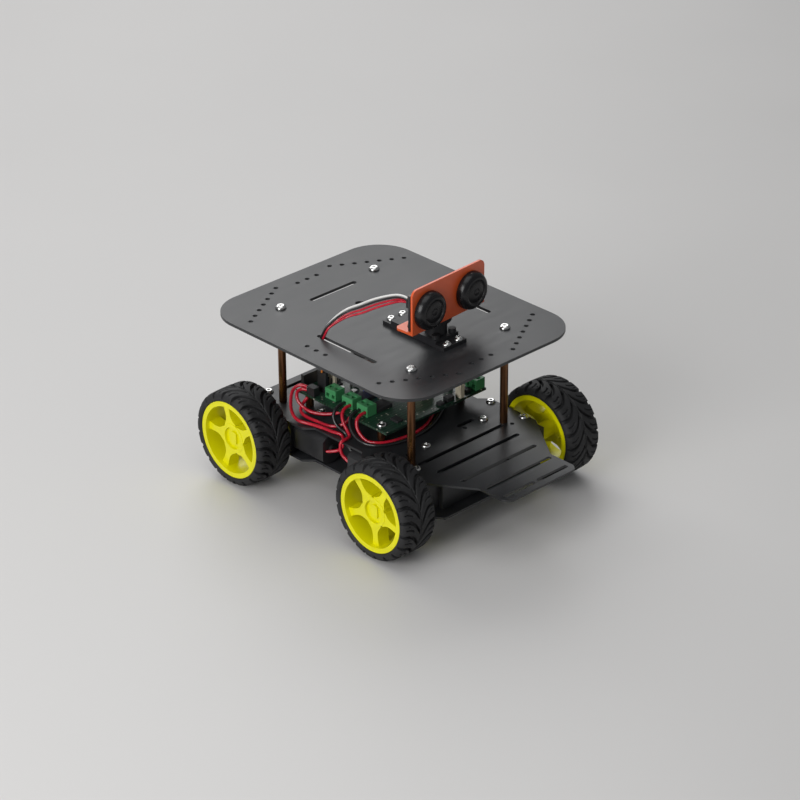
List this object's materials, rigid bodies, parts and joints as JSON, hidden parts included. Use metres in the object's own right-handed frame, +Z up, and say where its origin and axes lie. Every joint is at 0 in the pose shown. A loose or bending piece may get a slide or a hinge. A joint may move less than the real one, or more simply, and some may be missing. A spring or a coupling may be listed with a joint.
{
  "type": "four wheel robot chassis",
  "caption": "Four wheel drive robot chassis: slotted base with gear motors, controller board, upper deck on posts and a panning sonar head.",
  "frame": {"origin": "on the ground under the middle of the outline", "axes": "+Z up, the front faces -Y, +X is the robot's own left side"},
  "size_m": [0.1748, 0.2292, 0.1593],
  "materials": {
    "black_plate": "satin black anodised sheet",
    "bronze": "dark bronze plated",
    "screw_steel": "bright zinc",
    "black_plastic": "moulded black plastic",
    "cell_wrap": "gloss sleeve",
    "red_plastic": "gloss red",
    "circuit_board": "solder mask",
    "black_board": "black solder mask",
    "dark_metal": "dark coated can",
    "green_plastic": "moulded green",
    "cream_plastic": "moulded nylon",
    "can_metal": "bare drawn metal",
    "orange_metal": "orange red anodised sheet",
    "black_rubber": "soft black",
    "wire_white": "insulation",
    "wire_orange": "insulation",
    "wire_red": "insulation",
    "wire_black": "insulation",
    "white_plastic": "moulded nylon",
    "yellow_plastic": "moulded yellow",
    "tyre_rubber": "matt rubber"
  },
  "bodies": {
    "chassis": {"base_top_plate": "black_plate", "base_bottom_plate": "black_plate", "side_channel_left": "black_plate", "side_channel_right": "black_plate", "rear_panel": "black_plate", "front_panel": "black_plate", "deck_posts": "bronze", "upper_deck": "black_plate", "deck_screws": "screw_steel", "plate_screws": "screw_steel", "battery_holder": "black_plastic", "battery_cells": "cell_wrap", "battery_contacts": "screw_steel", "dc_jack": "black_plastic", "switch_housing": "black_plastic", "motor_screws": "screw_steel", "controller_board": "circuit_board", "board_spacers": "bronze", "board_screws": "screw_steel", "pin_headers": "black_plastic", "screw_terminals": "green_plastic", "power_connectors": "cream_plastic", "board_chips": "black_plastic", "board_capacitors": "can_metal", "servo_case": "black_plastic", "servo_cap": "black_plastic", "servo_screws": "screw_steel", "sensor_cable": "wire_white", "servo_lead": "wire_orange", "motor_wires_red": "wire_red", "motor_wires_black": "wire_black", "gearbox_front_left": "black_plastic", "motor_front_left": "dark_metal", "gearbox_front_right": "black_plastic", "motor_front_right": "dark_metal", "gearbox_rear_left": "black_plastic", "motor_rear_left": "dark_metal", "gearbox_rear_right": "black_plastic", "motor_rear_right": "dark_metal"},
    "wheel_front_left": {"shaft_front_left": "white_plastic", "rim_front_left": "yellow_plastic", "tyre_front_left": "tyre_rubber"},
    "wheel_front_right": {"shaft_front_right": "white_plastic", "rim_front_right": "yellow_plastic", "tyre_front_right": "tyre_rubber"},
    "wheel_rear_left": {"shaft_rear_left": "white_plastic", "rim_rear_left": "yellow_plastic", "tyre_rear_left": "tyre_rubber"},
    "wheel_rear_right": {"shaft_rear_right": "white_plastic", "rim_rear_right": "yellow_plastic", "tyre_rear_right": "tyre_rubber"},
    "sensor_head": {"servo_horn": "black_plastic", "horn_screw": "screw_steel", "sensor_bracket": "orange_metal", "sensor_board": "black_board", "sensor_socket": "black_plastic", "sensor_spacers": "bronze", "sonar_left": "black_rubber", "sonar_right": "black_rubber"},
    "rocker": {"switch_rocker": "red_plastic"}
  },
  "joints": [
    {"name": "wheel_spin_front_left", "type": "hinge", "parent": "chassis", "child": "wheel_front_left", "pos_m": [0.0734, -0.0493, 0.0325], "axis": [1, 0, 0], "continuous": true},
    {"name": "wheel_spin_front_right", "type": "hinge", "parent": "chassis", "child": "wheel_front_right", "pos_m": [-0.0734, -0.0493, 0.0325], "axis": [1, 0, 0], "continuous": true},
    {"name": "wheel_spin_rear_left", "type": "hinge", "parent": "chassis", "child": "wheel_rear_left", "pos_m": [0.0734, 0.0827, 0.0325], "axis": [1, 0, 0], "continuous": true},
    {"name": "wheel_spin_rear_right", "type": "hinge", "parent": "chassis", "child": "wheel_rear_right", "pos_m": [-0.0734, 0.0827, 0.0325], "axis": [1, 0, 0], "continuous": true},
    {"name": "head_pan", "type": "hinge", "parent": "chassis", "child": "sensor_head", "pos_m": [0, -0.019, 0.127], "axis": [0, 0, 1], "range_deg": [-90, 90], "deforming": ["sensor_cable"]},
    {"name": "rocker_tilt", "type": "hinge", "parent": "chassis", "child": "rocker", "pos_m": [-0.018, 0.098, 0.0325], "axis": [0, 0, 1], "range_deg": [0, 16]}
  ]
}
